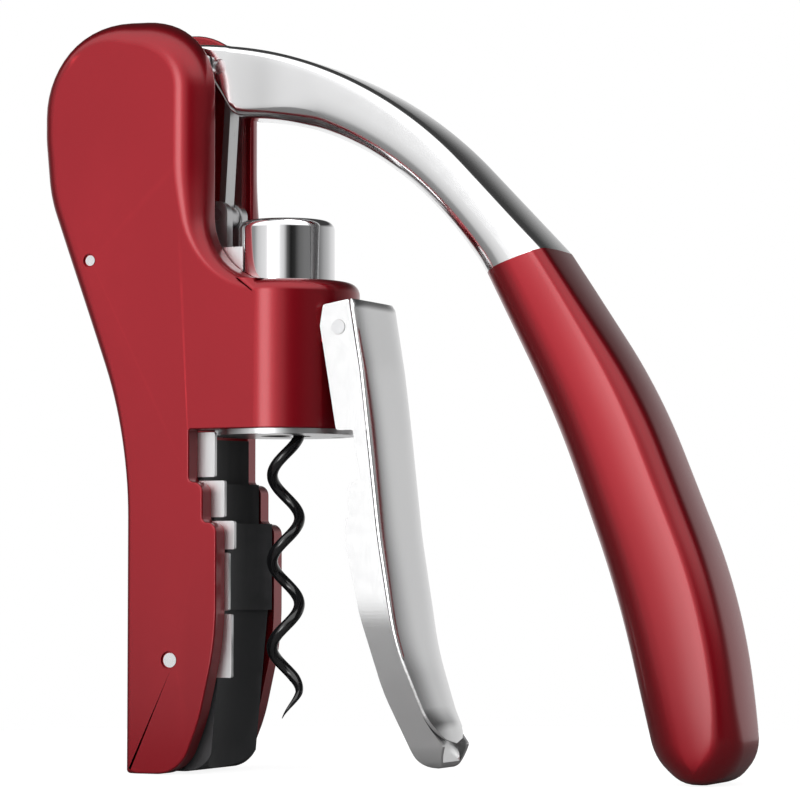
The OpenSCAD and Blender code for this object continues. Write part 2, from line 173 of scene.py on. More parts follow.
# ---------------------------------------------------------------- meshes
def mend(mesh, merge, shortest):
    """Merges points closer than one distance, and drops faces thinner than another."""
    bm = bmesh.new()
    bm.from_mesh(mesh)
    bmesh.ops.remove_doubles(bm, verts=bm.verts, dist=merge)
    bmesh.ops.dissolve_degenerate(bm, edges=bm.edges, dist=shortest)
    bm.to_mesh(mesh)
    bm.free()


def turn_outwards(mesh):
    """Turns a mesh's normals outwards."""
    bm = bmesh.new()
    bm.from_mesh(mesh)
    bmesh.ops.recalc_face_normals(bm, faces=bm.faces)
    bm.to_mesh(mesh)
    bm.free()


def mesh_object(name, verts, faces):
    """A closed mesh object from points in millimetres, its faces turned outwards."""
    mesh = bpy.data.meshes.new(name)
    mesh.from_pydata([Vector(v) * MM for v in verts], [], faces)
    mend(mesh, 0.001 * MM, 0.0001 * MM)
    turn_outwards(mesh)
    obj = bpy.data.objects.new(name, mesh)
    bpy.context.scene.collection.objects.link(obj)
    return obj


def skin(rings, cap_ends=True, ring_closed=True):
    """Vertices and faces of a skin over rings of equal length."""
    size = len(rings[0])
    verts = [p for ring in rings for p in ring]
    faces = []
    for r in range(len(rings) - 1):
        for k in range(size if ring_closed else size - 1):
            a = r * size + k
            b = r * size + (k + 1) % size
            faces.append((a, b, b + size, a + size))
    if cap_ends:
        faces.append(tuple(range(size - 1, -1, -1)))
        last = (len(rings) - 1) * size
        faces.append(tuple(last + k for k in range(size)))
    return verts, faces


def lathe(name, profile, segments=128):
    """Turns a profile of (radius, z) points round the worm axis. It is a ring, or starts and ends there."""
    solid = profile[0][0] == 0
    rings = []
    for i in range(segments + 1):
        a = 2 * math.pi * (i % segments) / segments
        rings.append([(r * math.cos(a), r * math.sin(a), z) for r, z in profile])
    verts, faces = skin(rings, cap_ends=False, ring_closed=not solid)
    return mesh_object(name, verts, faces)


def block(name, low, high):
    """A box between two corners."""
    corners = [(x, y, z) for x in (low[0], high[0]) for y in (low[1], high[1]) for z in (low[2], high[2])]
    faces = [(0, 1, 3, 2), (4, 6, 7, 5), (0, 4, 5, 1), (2, 3, 7, 6), (0, 2, 6, 4), (1, 5, 7, 3)]
    return mesh_object(name, corners, faces)


def cross_rod(name, at, radius, y_low, y_high, segments=48, chamfer=0.0):
    """A rod along Y, with its ends chamfered."""
    stations = [(y_low, radius), (y_high, radius)]
    if chamfer:
        stations = [(y_low, radius - chamfer), (y_low + chamfer, radius), (y_high - chamfer, radius),
                    (y_high, radius - chamfer)]
    rings = []
    for y, r in stations:
        rings.append([(at[0] + r * math.cos(2 * math.pi * k / segments), y,
                       at[1] + r * math.sin(2 * math.pi * k / segments)) for k in range(segments)])
    verts, faces = skin(rings)
    return mesh_object(name, verts, faces)


CUT_MERGE = 0.002                       # points closer than this are one point after a cut


def combine(base, others, operation):
    """Joins or cuts solids, and leaves the plain result in base."""
    for other in others:
        tool = base.modifiers.new("solid", "BOOLEAN")
        tool.operation = operation
        tool.solver = "MANIFOLD"
        tool.object = other
    settle(base)
    mend(base.data, CUT_MERGE * MM, CUT_MERGE * MM)
    for other in others:
        bpy.data.objects.remove(other)
    return base


def settle(obj):
    """Makes an object's modifiers part of its mesh."""
    bpy.context.view_layer.update()
    graph = bpy.context.evaluated_depsgraph_get()
    mesh = bpy.data.meshes.new_from_object(obj.evaluated_get(graph))
    old = obj.data
    obj.modifiers.clear()
    obj.data = mesh
    bpy.data.meshes.remove(old)
    return obj


def soften(obj, sharp_degrees=35):
    """Smooth shading that keeps the true edges."""
    for face in obj.data.polygons:
        face.use_smooth = True
    obj.data.set_sharp_from_angle(angle=math.radians(sharp_degrees))
    weigh = obj.modifiers.new("weighted", "WEIGHTED_NORMAL")
    weigh.keep_sharp = True
    weigh.weight = 100
    return settle(obj)


# ---------------------------------------------------------------- node helpers
def add_node(tree, kind, **settings):
    """A new node with its settings."""
    node = tree.nodes.new(kind)
    for key, value in settings.items():
        setattr(node, key, value)
    return node


def math_node(tree, operation, first, second):
    """The result of a sum whose terms are numbers or other nodes' outputs."""
    node = add_node(tree, "ShaderNodeMath", operation=operation)
    for socket, value in zip(node.inputs, (first, second)):
        if isinstance(value, bpy.types.NodeSocket):
            tree.links.new(value, socket)
        else:
            socket.default_value = value
    return node.outputs[0]


def grain_group():
    """Fine surface grain: a height, and a mottling between 0 and 1. Sizes are given per metre."""
    group = bpy.data.node_groups.new("surface_grain", "ShaderNodeTree")
    group.interface.new_socket("Fine scale", in_out="INPUT", socket_type="NodeSocketFloat")
    group.interface.new_socket("Broad scale", in_out="INPUT", socket_type="NodeSocketFloat")
    stretch = group.interface.new_socket("Stretch", in_out="INPUT", socket_type="NodeSocketVector")
    stretch.default_value = (1, 1, 1)
    group.interface.new_socket("Height", in_out="OUTPUT", socket_type="NodeSocketFloat")
    group.interface.new_socket("Mottle", in_out="OUTPUT", socket_type="NodeSocketFloat")
    source = add_node(group, "NodeGroupInput")
    sink = add_node(group, "NodeGroupOutput")
    place = add_node(group, "ShaderNodeTexCoord")
    scale = add_node(group, "ShaderNodeVectorMath", operation="MULTIPLY")
    group.links.new(place.outputs["Object"], scale.inputs[0])
    group.links.new(source.outputs["Stretch"], scale.inputs[1])
    fine = add_node(group, "ShaderNodeTexNoise")
    fine.inputs["Detail"].default_value = 3
    group.links.new(scale.outputs[0], fine.inputs["Vector"])
    group.links.new(source.outputs["Fine scale"], fine.inputs["Scale"])
    broad = add_node(group, "ShaderNodeTexNoise")
    broad.inputs["Detail"].default_value = 4
    group.links.new(place.outputs["Object"], broad.inputs["Vector"])
    group.links.new(source.outputs["Broad scale"], broad.inputs["Scale"])
    group.links.new(fine.outputs["Fac"], sink.inputs["Height"])
    group.links.new(broad.outputs["Fac"], sink.inputs["Mottle"])
    return group


FLAT_POINTINESS = 0.51                  # anything more pointed than this is an edge
WEAR_SOFTNESS = 0.12
WEAR_BREAKUP = 300                      # scale of the patches in the wear, per metre


def wear_group():
    """Where edges stand proud: 1 on a worn edge, 0 on a flat."""
    group = bpy.data.node_groups.new("edge_wear", "ShaderNodeTree")
    group.interface.new_socket("Softness", in_out="INPUT", socket_type="NodeSocketFloat")
    group.interface.new_socket("Breakup scale", in_out="INPUT", socket_type="NodeSocketFloat")
    group.interface.new_socket("Wear", in_out="OUTPUT", socket_type="NodeSocketFloat")
    source = add_node(group, "NodeGroupInput")
    sink = add_node(group, "NodeGroupOutput")
    shape = add_node(group, "ShaderNodeNewGeometry")
    place = add_node(group, "ShaderNodeTexCoord")
    noise = add_node(group, "ShaderNodeTexNoise")
    noise.inputs["Detail"].default_value = 5
    group.links.new(place.outputs["Object"], noise.inputs["Vector"])
    group.links.new(source.outputs["Breakup scale"], noise.inputs["Scale"])
    raised = math_node(group, "SUBTRACT", shape.outputs["Pointiness"], FLAT_POINTINESS)
    sharp = math_node(group, "DIVIDE", raised, source.outputs["Softness"])
    broken = math_node(group, "MULTIPLY", sharp, noise.outputs["Fac"])
    limit = add_node(group, "ShaderNodeClamp")
    group.links.new(broken, limit.inputs["Value"])
    group.links.new(limit.outputs[0], sink.inputs["Wear"])
    return group


GRAIN = grain_group()
WEAR = wear_group()


def finish_material(name, colour, dark, roughness, spread, metallic=0.0, fine=2500, broad=60,
                    stretch=(1, 1, 1), bump=0.02, bump_depth=0.00005, coat=0.0, coat_roughness=0.1,
                    wear_colour=None, specular=0.5, anisotropic=0.0):
    """A finish whose colour and roughness wander with the grain, with paler worn edges where asked."""
    material = bpy.data.materials.new(name)
    material.use_nodes = True
    tree = material.node_tree
    shader = tree.nodes["Principled BSDF"]
    shader.inputs["Metallic"].default_value = metallic
    shader.inputs["Coat Weight"].default_value = coat
    shader.inputs["Coat Roughness"].default_value = coat_roughness
    shader.inputs["Specular IOR Level"].default_value = specular
    shader.inputs["Anisotropic"].default_value = anisotropic
    grain = add_node(tree, "ShaderNodeGroup", node_tree=GRAIN)
    grain.inputs["Fine scale"].default_value = fine
    grain.inputs["Broad scale"].default_value = broad
    grain.inputs["Stretch"].default_value = stretch
    tint = add_node(tree, "ShaderNodeMix", data_type="RGBA")
    tint.inputs["A"].default_value = (*dark, 1)
    tint.inputs["B"].default_value = (*colour, 1)
    tree.links.new(grain.outputs["Mottle"], tint.inputs["Factor"])
    surface = tint.outputs["Result"]
    if wear_colour:
        wear = add_node(tree, "ShaderNodeGroup", node_tree=WEAR)
        wear.inputs["Softness"].default_value = WEAR_SOFTNESS
        wear.inputs["Breakup scale"].default_value = WEAR_BREAKUP
        worn = add_node(tree, "ShaderNodeMix", data_type="RGBA")
        worn.inputs["B"].default_value = (*wear_colour, 1)
        tree.links.new(surface, worn.inputs["A"])
        tree.links.new(wear.outputs["Wear"], worn.inputs["Factor"])
        surface = worn.outputs["Result"]
    tree.links.new(surface, shader.inputs["Base Color"])
    varied = add_node(tree, "ShaderNodeMapRange")
    varied.inputs["To Min"].default_value = roughness - spread
    varied.inputs["To Max"].default_value = roughness + spread
    tree.links.new(grain.outputs["Height"], varied.inputs["Value"])
    tree.links.new(varied.outputs["Result"], shader.inputs["Roughness"])
    relief = add_node(tree, "ShaderNodeBump")
    relief.inputs["Strength"].default_value = bump
    relief.inputs["Distance"].default_value = bump_depth
    tree.links.new(grain.outputs["Height"], relief.inputs["Height"])
    tree.links.new(relief.outputs["Normal"], shader.inputs["Normal"])
    return material


RED = (0.275, 0.004, 0.012)
DEEP_RED = (0.245, 0.003, 0.009)

# colour, darker mottling, roughness and how far it wanders; the scales of the grain are per metre
MATERIALS = {
    "red_paint": finish_material("satin_red_metallic", RED, DEEP_RED, 0.43, 0.03, metallic=0.88, fine=4200,
                                 broad=35, bump=0.10, bump_depth=0.00002, coat=0.72, coat_roughness=0.17,
                                 specular=0.1, wear_colour=(0.48, 0.02, 0.03)),
    "red_grip": finish_material("satin_red_grip", RED, DEEP_RED, 0.42, 0.03, metallic=0.88, fine=3800,
                                broad=30, bump=0.08, bump_depth=0.00002, coat=0.68, coat_roughness=0.17,
                                specular=0.1),
    "bright_chrome": finish_material("soft_chrome", (0.90, 0.90, 0.90), (0.84, 0.84, 0.85), 0.13, 0.03,
                                     metallic=1.0, fine=1800, broad=45, stretch=(0.15, 3, 0.15), bump=0.03),
    "barrel_chrome": finish_material("polished_chrome", (0.86, 0.86, 0.87), (0.82, 0.82, 0.83), 0.07, 0.02,
                                     metallic=1.0, fine=1500, broad=50, stretch=(2, 2, 0.3), bump=0.02),
    "satin_steel": finish_material("satin_steel", (0.66, 0.66, 0.66), (0.54, 0.54, 0.55), 0.30, 0.06,
                                   metallic=1.0, fine=1600, broad=90, stretch=(1, 1, 0.08), bump=0.12),
    "clamp_alloy": finish_material("satin_alloy", (0.80, 0.80, 0.80), (0.74, 0.74, 0.75), 0.23, 0.04,
                                   metallic=1.0, fine=2600, broad=40, stretch=(1, 1, 0.25), bump=0.05,
                                   wear_colour=(0.90, 0.90, 0.90)),
    "pin_steel": finish_material("bright_pin_steel", (0.85, 0.85, 0.86), (0.72, 0.72, 0.73), 0.20, 0.05,
                                 metallic=1.0, fine=1500, broad=200, bump=0.05),
    "dark_steel": finish_material("blackened_steel", (0.12, 0.12, 0.125), (0.06, 0.06, 0.065), 0.38, 0.06,
                                  metallic=0.9, fine=1500, broad=150, bump=0.08),
    "black_plastic": finish_material("moulded_black_plastic", (0.040, 0.042, 0.044), (0.030, 0.031, 0.033),
                                     0.46, 0.06, fine=3000, broad=80, bump=0.35, bump_depth=0.00004,
                                     wear_colour=(0.09, 0.09, 0.095)),
    "worm_coating": finish_material("glossy_black_coating", (0.010, 0.010, 0.011), (0.006, 0.006, 0.007),
                                    0.16, 0.05, fine=2200, broad=120, bump=0.05, coat=0.4,
                                    coat_roughness=0.08),
    "bearing_bronze": finish_material("oiled_bronze", (0.55, 0.38, 0.17), (0.40, 0.26, 0.11), 0.30, 0.06,
                                      metallic=1.0, fine=1500, broad=120, bump=0.08),
}


def dress(obj, material_key):
    """Gives an object one material."""
    obj.data.materials.clear()
    obj.data.materials.append(MATERIALS[material_key])


def fit(piece, body, node):
    """Hangs a finished piece on its body in place of its CAD node."""
    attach(piece, body)
    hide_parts(node)


# ---------------------------------------------------------------- camera
EYE_HEIGHT = 0.0402
EYE_AZIMUTH = 24.3
EYE_DISTANCE = 0.690
EYE_SIDEWAYS = 0.02395                  # how far the line of sight passes in front of the worm axis
EYE_PITCH = 3.14
LENS = 147.8


def make_camera():
    """A long lens, looking slightly up along the near side from towards the lever."""
    data = bpy.data.cameras.new("studio_camera")
    data.lens = LENS
    data.sensor_width = 36
    data.clip_start = 0.01
    data.clip_end = 20
    camera = bpy.data.objects.new("studio_camera", data)
    bpy.context.scene.collection.objects.link(camera)
    a = math.radians(EYE_AZIMUTH)
    camera.location = (EYE_SIDEWAYS * math.cos(a) + EYE_DISTANCE * math.sin(a),
                       EYE_SIDEWAYS * math.sin(a) - EYE_DISTANCE * math.cos(a), EYE_HEIGHT)
    camera.rotation_euler = (math.radians(90 + EYE_PITCH), 0, a)
    bpy.context.scene.camera = camera


make_camera()

# ---------------------------------------------------------------- body casting
HEAD_ROUND = 6.3                        # rounding of the head's outer edge
REAR_ROUND = 2.6                        # and of its rear
RIM_ROUND = 2.6                         # rounding of the collar's upper rim
CUT_ROUND = 0.35                        # rounding of the cut-out and the foot
WAIST_ROUND = 1.0
INNER_ROUND = 0.6                       # rounding of the cheek's inner edge
WAIST_Z, HEAD_FULL_Z = 62, 128          # between these heights the edge grows to its fullest
ROUND_STEPS, INNER_STEPS = 10, 4
FLAT_MARGIN = 0.3                       # a rim of the flat, so that the rounding's shading ends in it

CHEEK_CORNERS = [
    (FOOT_REAR, 0, 0.8), (FOOT_REAR, 69.8, 90), (-49.3, 121.5, 30), (HEAD_REAR, 134, 30),
    (HEAD_REAR, HEAD_TOP, 19.5),
    (HEAD_FRONT, HEAD_TOP, 15), (HEAD_FRONT, COLLAR_TOP, 14), (0, COLLAR_TOP, 0), (0, COLLAR_BOTTOM, 0),
    (LIP_X, COLLAR_BOTTOM, 0.4), (LIP_X, LIP_Z, 1), (NECK_X, LIP_Z, 2.2), (NECK_X, NECK_Z, 1),
    (GRIP_EDGE_X, NECK_Z, 2.2), (GRIP_EDGE_X, 28, 60), (-12.4, 11, 40), (-17, 0, 8)]


def edge_round(x, z):
    """How round the cheek's outer edge is at a point of its outline."""
    if z < COLLAR_BOTTOM + 1 and x > FOOT_REAR + 2:
        return CUT_ROUND
    if x > HEAD_FRONT - 2:
        share = 1.0 if x < -4 else 0.9
        return mix(RIM_ROUND, HEAD_ROUND, smooth_step(COLLAR_TOP, HEAD_FULL_Z, z) * share)
    fullest = mix(REAR_ROUND, HEAD_ROUND, smooth_step(-46, -20, x))
    return mix(WAIST_ROUND, fullest, smooth_step(WAIST_Z, HEAD_FULL_Z, z))


def outline_normals(points):
    """Inward normals of a closed outline; the sheer end at the collar is only drawn in along Z."""
    count = len(points)
    area = sum(points[i][0] * points[(i + 1) % count][1] - points[(i + 1) % count][0] * points[i][1]
               for i in range(count))
    side = 1 if area > 0 else -1
    normals = []
    for i in range(count):
        before = (Vector(points[i]) - Vector(points[i - 1])).normalized()
        after = (Vector(points[(i + 1) % count]) - Vector(points[i])).normalized()
        along = (before + after).normalized()
        normal = Vector((-along.y, along.x)) * side
        stretch = 1 / max(0.5, math.cos(before.angle(after) / 2)) if before.length and after.length else 1
        if abs(points[i][0]) < 1e-6:
            normal = Vector((0, -1 if points[i][1] > COLLAR_BOTTOM + 1 else 1))
            stretch = 1
        normals.append(normal * stretch)
    return normals


def build_cheek(side_sign):
    """One cheek: a plate with a soft outer edge that is widest round the head."""
    dense = rounded(CHEEK_CORNERS)
    start = next(i for i, p in enumerate(dense) if p[0] == 0 and p[1] == COLLAR_BOTTOM)
    dense = dense[start:] + dense[:start]
    points = refine(dense, 2.0, closed=False)
    normals = outline_normals(points)
    radii = [edge_round(x, z) for x, z in points]
    rings = []
    for k in range(INNER_STEPS, -1, -1):
        a = math.pi / 2 * k / INNER_STEPS
        rings.append([(x + n.x * INNER_ROUND * (1 - math.cos(a)),
                       side_sign * (HEAD_GAP + INNER_ROUND * (1 - math.sin(a))),
                       z + n.y * INNER_ROUND * (1 - math.cos(a)))
                      for (x, z), n in zip(points, normals)])
    for k in range(ROUND_STEPS + 1):
        a = math.pi / 2 * k / ROUND_STEPS
        rings.append([(x + n.x * r * (1 - math.cos(a)), side_sign * (HALF_W - r * (1 - math.sin(a))),
                       z + n.y * r * (1 - math.cos(a)))
                      for (x, z), n, r in zip(points, normals, radii)])
    rings.append([(x + n.x * (r + FLAT_MARGIN), side_sign * HALF_W, z + n.y * (r + FLAT_MARGIN))
                  for (x, z), n, r in zip(points, normals, radii)])
    verts, faces = skin(rings)
    return mesh_object("cheek", verts, faces)


COLLAR_BORE = BARREL_R + 0.3            # radius that the barrel slides in
BUSH_R = 11.6                           # radius of the wider bore that holds the liner
BUSH_TOP = COLLAR_TOP - 4.6
LUG_R = 2.9                             # the two lugs that carry the clamp's hinge pin
LUG_REAR = 12.2
LUG_INNER, LUG_OUTER = 5.2, CLAMP_HALF_W - 1.4
SPRING_POCKET_R = 2.7
SKIM = 0.02                             # keeps faces that would lie in one plane just apart
THROUGH = 20                            # a cut this long passes through everything


def build_collar():
    """The round collar, with a soft upper rim."""
    base = round_corner((BUSH_R, COLLAR_BOTTOM), (HALF_W, COLLAR_BOTTOM), (HALF_W, COLLAR_TOP), CUT_ROUND, 4)
    rim = round_corner((HALF_W, COLLAR_BOTTOM), (HALF_W, COLLAR_TOP), (COLLAR_BORE, COLLAR_TOP),
                       RIM_ROUND, 10)
    mouth = round_corner((HALF_W, COLLAR_TOP), (COLLAR_BORE, COLLAR_TOP), (COLLAR_BORE, BUSH_TOP), 0.5, 5)
    bore = [(COLLAR_BORE, BUSH_TOP), (BUSH_R, BUSH_TOP), (BUSH_R, COLLAR_BOTTOM)]
    return lathe("collar", base + rim + mouth + bore)


def build_lugs():
    """The collar's two lugs at the clamp's hinge."""
    lugs = []
    reach = LUG_R - SKIM
    for s in (-1, 1):
        y_low, y_high = sorted((s * LUG_INNER, s * LUG_OUTER))
        lugs.append(cross_rod("lug", CLAMP_PIN, LUG_R, y_low, y_high, chamfer=0.3))
        lugs.append(block("lug", (LUG_REAR, y_low + SKIM, CLAMP_PIN[1] - reach),
                          (CLAMP_PIN[0], y_high - SKIM, CLAMP_PIN[1] + reach)))
    return lugs


def body_cuts():
    """The room at the foot, the collar's bore, the spring's pocket and the cross pins' recessed holes."""
    above, below = COLLAR_TOP + 5.4, COLLAR_BOTTOM - 1
    x, z = CLAMP_PIN
    cuts = [block("cut", (-40, y_low, -5), (LIP_X + 12, y_high, COLLAR_BOTTOM - SKIM))
            for y_low, y_high in ((-FOOT_GAP, -HEAD_GAP + 1), (HEAD_GAP - 1, FOOT_GAP))]
    cuts.append(lathe("cut", [(0, below), (BUSH_R, below), (BUSH_R, BUSH_TOP), (COLLAR_BORE, BUSH_TOP),
                              (COLLAR_BORE, above), (0, above)]))
    cuts.append(cross_rod("cut", CLAMP_PIN, SPRING_POCKET_R, -LUG_INNER, LUG_INNER))
    cuts.append(block("cut", (x - SPRING_POCKET_R, 2.8, z - LUG_INNER), (x - 0.7, 4.1, z - 0.2)))
    for at, r in ((UPPER_PIN, 1.1), (LOWER_PIN, 1.5)):
        cuts.append(cross_rod("cut", at, r + SKIM, -THROUGH, THROUGH))
        for s in (-1, 1):
            y_low, y_high = sorted((s * (HALF_W - 0.55), s * (HALF_W + 1)))
            cuts.append(cross_rod("cut", at, r + 0.38, y_low, y_high))
    return cuts


def build_body():
    """Cheeks, collar and lugs as one red casting."""
    cheeks = [build_cheek(-1), build_cheek(1)]
    web = block("web", (LIP_X, -HEAD_GAP - 0.5, COLLAR_BOTTOM + 0.01), (-4, HEAD_GAP + 0.5, COLLAR_TOP - 0.3))
    body = combine(cheeks[0], [cheeks[1], build_collar(), web] + build_lugs(), "UNION")
    body = combine(body, body_cuts(), "DIFFERENCE")
    body.name = "body_shell"
    soften(body, 40)
    dress(body, "red_paint")
    fit(body, "body", "body_casting")


build_body()


# ---------------------------------------------------------------- lofted pieces
def section(a, b, outer_r, inner_r, bulge, corner_steps=7, side_steps=6):
    """A rounded box in (outward, across) with half sizes a and b; its sides and outer face may bulge."""
    outer_r = min(outer_r, a * 0.96, b * 0.96)
    inner_r = min(inner_r, a * 0.96, b * 0.96)
    outer_crown, inner_crown = bulge * 1.2, bulge * 0.5
    half = arc((a - outer_r, b - outer_r), outer_r, 0, 90, corner_steps)
    half += [(mix(a - outer_r, -a + inner_r, k / side_steps), b) for k in range(1, side_steps)]
    half += arc((-a + inner_r, b - inner_r), inner_r, 90, 180, corner_steps)
    shaped = []
    for n, y in half:
        y = min(y, b)
        lift = bulge * (1 - (n / a) ** 2)
        crown = (outer_crown if n > 0 else -inner_crown) * (1 - (y / b) ** 2)
        shaped.append((n + crown * abs(n) / a, y + lift * (y / b)))
    face = [mix(1, 0, k / side_steps) for k in range(1, side_steps + 1)]
    top_y, bottom_y = shaped[0][1], shaped[-1][1]
    top = [(a + outer_crown * (1 - (t * top_y / b) ** 2), t * top_y) for t in reversed(face)]
    bottom = [(-a - inner_crown * (1 - (t * bottom_y / b) ** 2), t * bottom_y) for t in face]
    right = top + shaped + bottom
    left = [(n, -y) for n, y in reversed(right[1:-1])]
    return right + left


def loft(name, stations):
    """A skin over stations (outer point, inner point, half width, outer radius, inner radius, bulge)."""
    rings = []
    for outer, inner, b, outer_r, inner_r, bulge in stations:
        o = Vector(outer)
        i = Vector(inner)
        middle = (o + i) / 2
        across = o - i
        a = max(across.length / 2, 0.02)
        direction = across.normalized() if across.length > 1e-6 else Vector((0, 1))
        bulge = min(bulge, a * 0.1)
        ring = []
        for n, y in section(a - bulge * 0.85, max(b - bulge, 0.02), outer_r, inner_r, bulge):
            p = middle + direction * (n - bulge * 0.35)
            ring.append((p.x, y, p.y))
        rings.append(ring)
    verts, faces = skin(rings)
    return mesh_object(name, verts, faces)


ARCH_OUTER, ARCH_OUTER_R = (-22.6, 61), 92.8
ARCH_INNER, ARCH_INNER_R = (-14.5, 66), 72.1
ARCH_END = 44                           # where the outer circle runs out straight
SEAM_RUN = 25.6
SEAM_IN_ANGLE = 30.3
RUN_START = on_circle(ARCH_OUTER, ARCH_OUTER_R, ARCH_END)
SEAM_OUT = (RUN_START[0] + SEAM_RUN * math.sin(math.radians(ARCH_END)),
            RUN_START[1] - SEAM_RUN * math.cos(math.radians(ARCH_END)))
SEAM_IN = on_circle(ARCH_INNER, ARCH_INNER_R, SEAM_IN_ANGLE)
SEAM_HALF_W = GRIP_HALF_W - 0.4
SEAM_OUTER_R, SEAM_INNER_R = 2.3, 6.4
SEAM_BULGE = 0.35


def lever_half_width(x):
    """The lever is narrow in its fork, swells out just past the head, and widens slowly to the grip."""
    shoulder = mix(FORK_HALF_W, 7.9, smooth_step(-13, 4, x))
    return mix(shoulder, SEAM_HALF_W, min(max((x + 4) / 62, 0), 1))


HUB_R = 5.5                             # round end of the lever at its pivot
HUB_STEPS = 8
FORK_ROUND = 0.8                        # edges of the fork
ROOT_OUTER_R, ROOT_INNER_R = 1.5, 2.6   # edges where the arch leaves the head
ROOT_LINE = [((-30, 153.5), (-30, 142.8)), ((-22, 153.78), (-21, 146.0)), ((-17, 153.62), (-16, 146.6)),
             ((-14.6, 153.45), (-14.2, 145.4)), ((-12.6, 153.25), (-11.9, 141.6)),
             ((-11.2, 153.1), (-9.9, 138.5))]
ARCH_OUTER_START, ARCH_INNER_START = 82.4, 85.2
ARCH_STATIONS = 48
FORK_SLOT = 2.6                         # half the gap between the fork's tines
FORK_SLOT_END = -9.4
PIVOT_HOLE_R, CRANK_HOLE_R = 3.0, 1.62


def hub_stations():
    """The lever's round end in the fork."""
    stations = []
    for k in range(1, HUB_STEPS + 1):
        a = math.pi / 2 * (1 - k / HUB_STEPS)
        x = PIVOT[0] - HUB_R * math.sin(a)
        h = max(HUB_R * math.cos(a), 0.3)
        stations.append(((x, PIVOT[1] + h), (x, PIVOT[1] - h), FORK_HALF_W, FORK_ROUND, FORK_ROUND, 0))
    return stations


def root_stations():
    """From the hub out past the head, where the lever deepens into the arch."""
    stations = []
    for outer, inner in ROOT_LINE:
        rise = smooth_step(-24, -8, outer[0])
        stations.append((outer, inner, lever_half_width(outer[0]), mix(1.0, ROOT_OUTER_R, rise),
                         mix(FORK_ROUND, ROOT_INNER_R, rise), 0))
    return stations


def arch_stations():
    """The arch, down to the seam with the grip."""
    outer_arc = arc(ARCH_OUTER, ARCH_OUTER_R, ARCH_OUTER_START, ARCH_END, 60)
    outer_line = resample(outer_arc + [SEAM_OUT], ARCH_STATIONS)
    inner_line = resample(arc(ARCH_INNER, ARCH_INNER_R, ARCH_INNER_START, SEAM_IN_ANGLE, 80), ARCH_STATIONS)
    stations = []
    for k, (outer, inner) in enumerate(zip(outer_line, inner_line)):
        t = k / (ARCH_STATIONS - 1)
        stations.append((outer, inner, lever_half_width(outer[0]), mix(ROOT_OUTER_R, SEAM_OUTER_R, t),
                         mix(ROOT_INNER_R, SEAM_INNER_R, smooth_step(0, 0.3, t)), mix(0.1, SEAM_BULGE, t)))
    return stations


def build_lever():
    """Fork and arch, bright, in one piece."""
    lever = loft("lever_bright_part", hub_stations() + root_stations() + arch_stations())
    cuts = [block("cut", (-50, -FORK_SLOT, 130), (FORK_SLOT_END, FORK_SLOT, 170)),
            cross_rod("cut", PIVOT, PIVOT_HOLE_R, -12, 12), cross_rod("cut", CRANK, CRANK_HOLE_R, -12, 12)]
    combine(lever, cuts, "DIFFERENCE")
    soften(lever, 38)
    dress(lever, "bright_chrome")
    fit(lever, "lever", "lever_arm")


GRIP_OUTER = [(*SEAM_OUT, 0), (81.6, 78, 120), (98.6, 36, 120), (103.2, 0, 8.5), (93.9, 0, 0)]
GRIP_INNER = [(*SEAM_IN, 0), (62.8, 73, 220), (75.8, 37, 220), (84.6, 0, 11), (93.9, 0, 0)]
GRIP_STATIONS = 96
GRIP_OUTER_R, GRIP_END_R = 3.6, 6.5     # rounding of the outer edges, along the grip and at its end
GRIP_BULGE = 0.55
GRIP_END_DEPTH = 18.0                   # the end draws in where the grip gets thinner than this
GRIP_END_POWER = 2.3


def build_grip():
    """The red grip, rounded off at its lower end."""
    outer = resample(refine(rounded(GRIP_OUTER, 24, closed=False), 1.0, closed=False), GRIP_STATIONS)
    inner = resample(refine(rounded(GRIP_INNER, 24, closed=False), 1.0, closed=False), GRIP_STATIONS)
    stations = []
    for k, (o, i) in enumerate(zip(outer, inner)):
        t = k / (GRIP_STATIONS - 1)
        b = mix(SEAM_HALF_W, GRIP_HALF_W, smooth_step(0, 0.25, t))
        if t > 0.7:
            share = min((Vector(o) - Vector(i)).length / GRIP_END_DEPTH, 1)
            b *= max(1 - (1 - share) ** GRIP_END_POWER, 0) ** (1 / GRIP_END_POWER)
        outer_r = mix(GRIP_OUTER_R, GRIP_END_R, smooth_step(0.8, 1, t))
        stations.append((o, i, b, mix(SEAM_OUTER_R, outer_r, smooth_step(0, 0.4, t)), SEAM_INNER_R,
                         mix(SEAM_BULGE, GRIP_BULGE, smooth_step(0, 0.3, t))))
    grip = loft("grip_skin", stations)
    soften(grip, 50)
    dress(grip, "red_grip")
    fit(grip, "lever", "lever_grip")


build_lever()
build_grip()

# ---------------------------------------------------------------- clamp cover
SEAM_CORNERS = [(19.5, 97.9, 0), (21.9, 83.3, 60), (25.8, 49, 120), (29.6, 26.2, 60), (35.2, 11.4, 20),
                (38.8, 6.8, 0)]


COVER_STATIONS = 900
TONGUE_STATIONS = 80                    # of these, near the tip, where they stand closer together
TONGUE = 7                              # length over which the tongue rounds off
TONGUE_POWER = 2.2
COVER_UNDER = 0.22                      # gap from the seam to the shell's underside
COVER_EDGE = 0.55                       # thickness of its edge
COVER_STEPS = 15


def cover_ring(w, edge, crown, fullness):
    """The shell's cross section, as (across, outward): flat below, arched above."""
    ring = [(mix(-w, w, j / COVER_STEPS), COVER_UNDER) for j in range(COVER_STEPS + 1)]
    ring.append((w, COVER_UNDER + edge * 0.6))
    for j in range(2 * COVER_STEPS + 1):
        t = mix(0.985, -0.985, j / (2 * COVER_STEPS))
        ring.append((t * w, COVER_UNDER + edge + crown * (1 - abs(t) ** fullness)))
    ring.append((-w, COVER_UNDER + edge * 0.6))
    return ring


